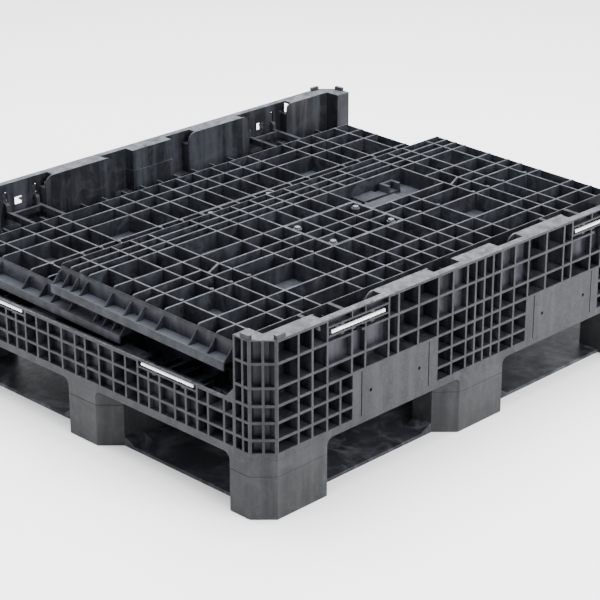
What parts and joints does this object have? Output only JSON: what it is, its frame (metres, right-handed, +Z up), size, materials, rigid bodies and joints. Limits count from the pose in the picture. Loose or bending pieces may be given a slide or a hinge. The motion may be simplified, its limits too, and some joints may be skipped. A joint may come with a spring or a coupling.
{
  "type": "folding bulk pallet container",
  "caption": "Folding plastic pallet box, stored collapsed: ribbed base on block feet with hinged walls lying folded inside its rims.",
  "frame": {"origin": "on the floor under the middle of the base", "axes": "+X along the long tall rims, +Y across them towards the back, +Z up"},
  "size_m": [1.2, 1, 0.362],
  "materials": {
    "base_plastic": "satin moulded charcoal",
    "foot_plastic": "scuffed moulded charcoal",
    "skid_plastic": "smooth moulded charcoal with swirls",
    "rim_plastic": "satin moulded charcoal with flow marks",
    "wall_plastic": "satin moulded charcoal",
    "fitting_plastic": "moulded dark charcoal",
    "rod_steel": "bright drawn rod",
    "pin_metal": "bright rivet heads"
  },
  "bodies": {
    "base": {"base_deck": "base_plastic", "foot_centre": "foot_plastic", "foot_front_left": "foot_plastic", "foot_front_right": "foot_plastic", "foot_front_middle": "foot_plastic", "foot_back_left": "foot_plastic", "foot_back_right": "foot_plastic", "foot_back_middle": "foot_plastic", "foot_middle_left": "foot_plastic", "foot_middle_right": "foot_plastic", "skid_front": "skid_plastic", "skid_back": "skid_plastic", "skid_left": "skid_plastic", "skid_right": "skid_plastic", "front_rim": "rim_plastic", "back_rim": "rim_plastic", "left_rim": "rim_plastic", "right_rim": "rim_plastic", "corner_post_front_left": "rim_plastic", "corner_post_front_right": "rim_plastic", "corner_post_back_left": "rim_plastic", "corner_post_back_right": "rim_plastic", "front_hinge_rod_left": "rod_steel", "front_hinge_rod_right": "rod_steel", "right_hinge_rod_left": "rod_steel", "right_hinge_rod_right": "rod_steel", "back_hinge_rod_left": "rod_steel", "back_hinge_rod_right": "rod_steel", "left_hinge_rod_left": "rod_steel", "left_hinge_rod_right": "rod_steel"},
    "front_wall": {"front_wall_grid": "wall_plastic", "front_wall_flange_left": "wall_plastic", "front_wall_flange_right": "wall_plastic", "front_wall_hinge_arm_left": "fitting_plastic", "front_wall_hinge_arm_right": "fitting_plastic", "front_wall_insert": "wall_plastic", "front_wall_insert_pins": "pin_metal", "front_wall_latch_housing": "fitting_plastic"},
    "back_wall": {"back_wall_grid": "wall_plastic", "back_wall_flange_left": "wall_plastic", "back_wall_flange_right": "wall_plastic", "back_wall_hinge_arm_left": "fitting_plastic", "back_wall_hinge_arm_right": "fitting_plastic", "back_wall_insert": "wall_plastic", "back_wall_insert_pins": "pin_metal", "back_wall_latch_housing": "fitting_plastic"},
    "left_wall": {"left_wall_grid": "wall_plastic", "left_wall_hinge_arm_left": "fitting_plastic", "left_wall_hinge_arm_right": "fitting_plastic"},
    "right_wall": {"right_wall_grid": "wall_plastic", "right_wall_hinge_arm_left": "fitting_plastic", "right_wall_hinge_arm_right": "fitting_plastic"},
    "front_latch": {"front_wall_latch_handle": "fitting_plastic"},
    "back_latch": {"back_wall_latch_handle": "fitting_plastic"}
  },
  "joints": [
    {"name": "front_wall_fold", "type": "hinge", "parent": "base", "child": "front_wall", "pos_m": [0, -0.4945, 0.326], "axis": [1, 0, 0], "range_deg": [0, 88.6]},
    {"name": "back_wall_fold", "type": "hinge", "parent": "base", "child": "back_wall", "pos_m": [0, 0.4945, 0.326], "axis": [-1, 0, 0], "range_deg": [0, 91.5]},
    {"name": "left_wall_fold", "type": "hinge", "parent": "base", "child": "left_wall", "pos_m": [-0.5945, 0, 0.2175], "axis": [0, -1, 0], "range_deg": [0, 90]},
    {"name": "right_wall_fold", "type": "hinge", "parent": "base", "child": "right_wall", "pos_m": [0.5945, 0, 0.2175], "axis": [0, 1, 0], "range_deg": [0, 90]},
    {"name": "front_latch_slide", "type": "slide", "parent": "front_wall", "child": "front_latch", "axis": [1, 0, 0], "range_m": [0, 0.012]},
    {"name": "back_latch_slide", "type": "slide", "parent": "back_wall", "child": "back_latch", "axis": [-1, 0, 0], "range_m": [0, 0.012]}
  ],
  "couplings": [
    {"joint": "back_wall_fold", "follows": "front_wall_fold", "ratio": 0.5},
    {"joint": "left_wall_fold", "follows": "front_wall_fold", "ratio": 0.05},
    {"joint": "right_wall_fold", "follows": "front_wall_fold", "ratio": 0.025}
  ]
}
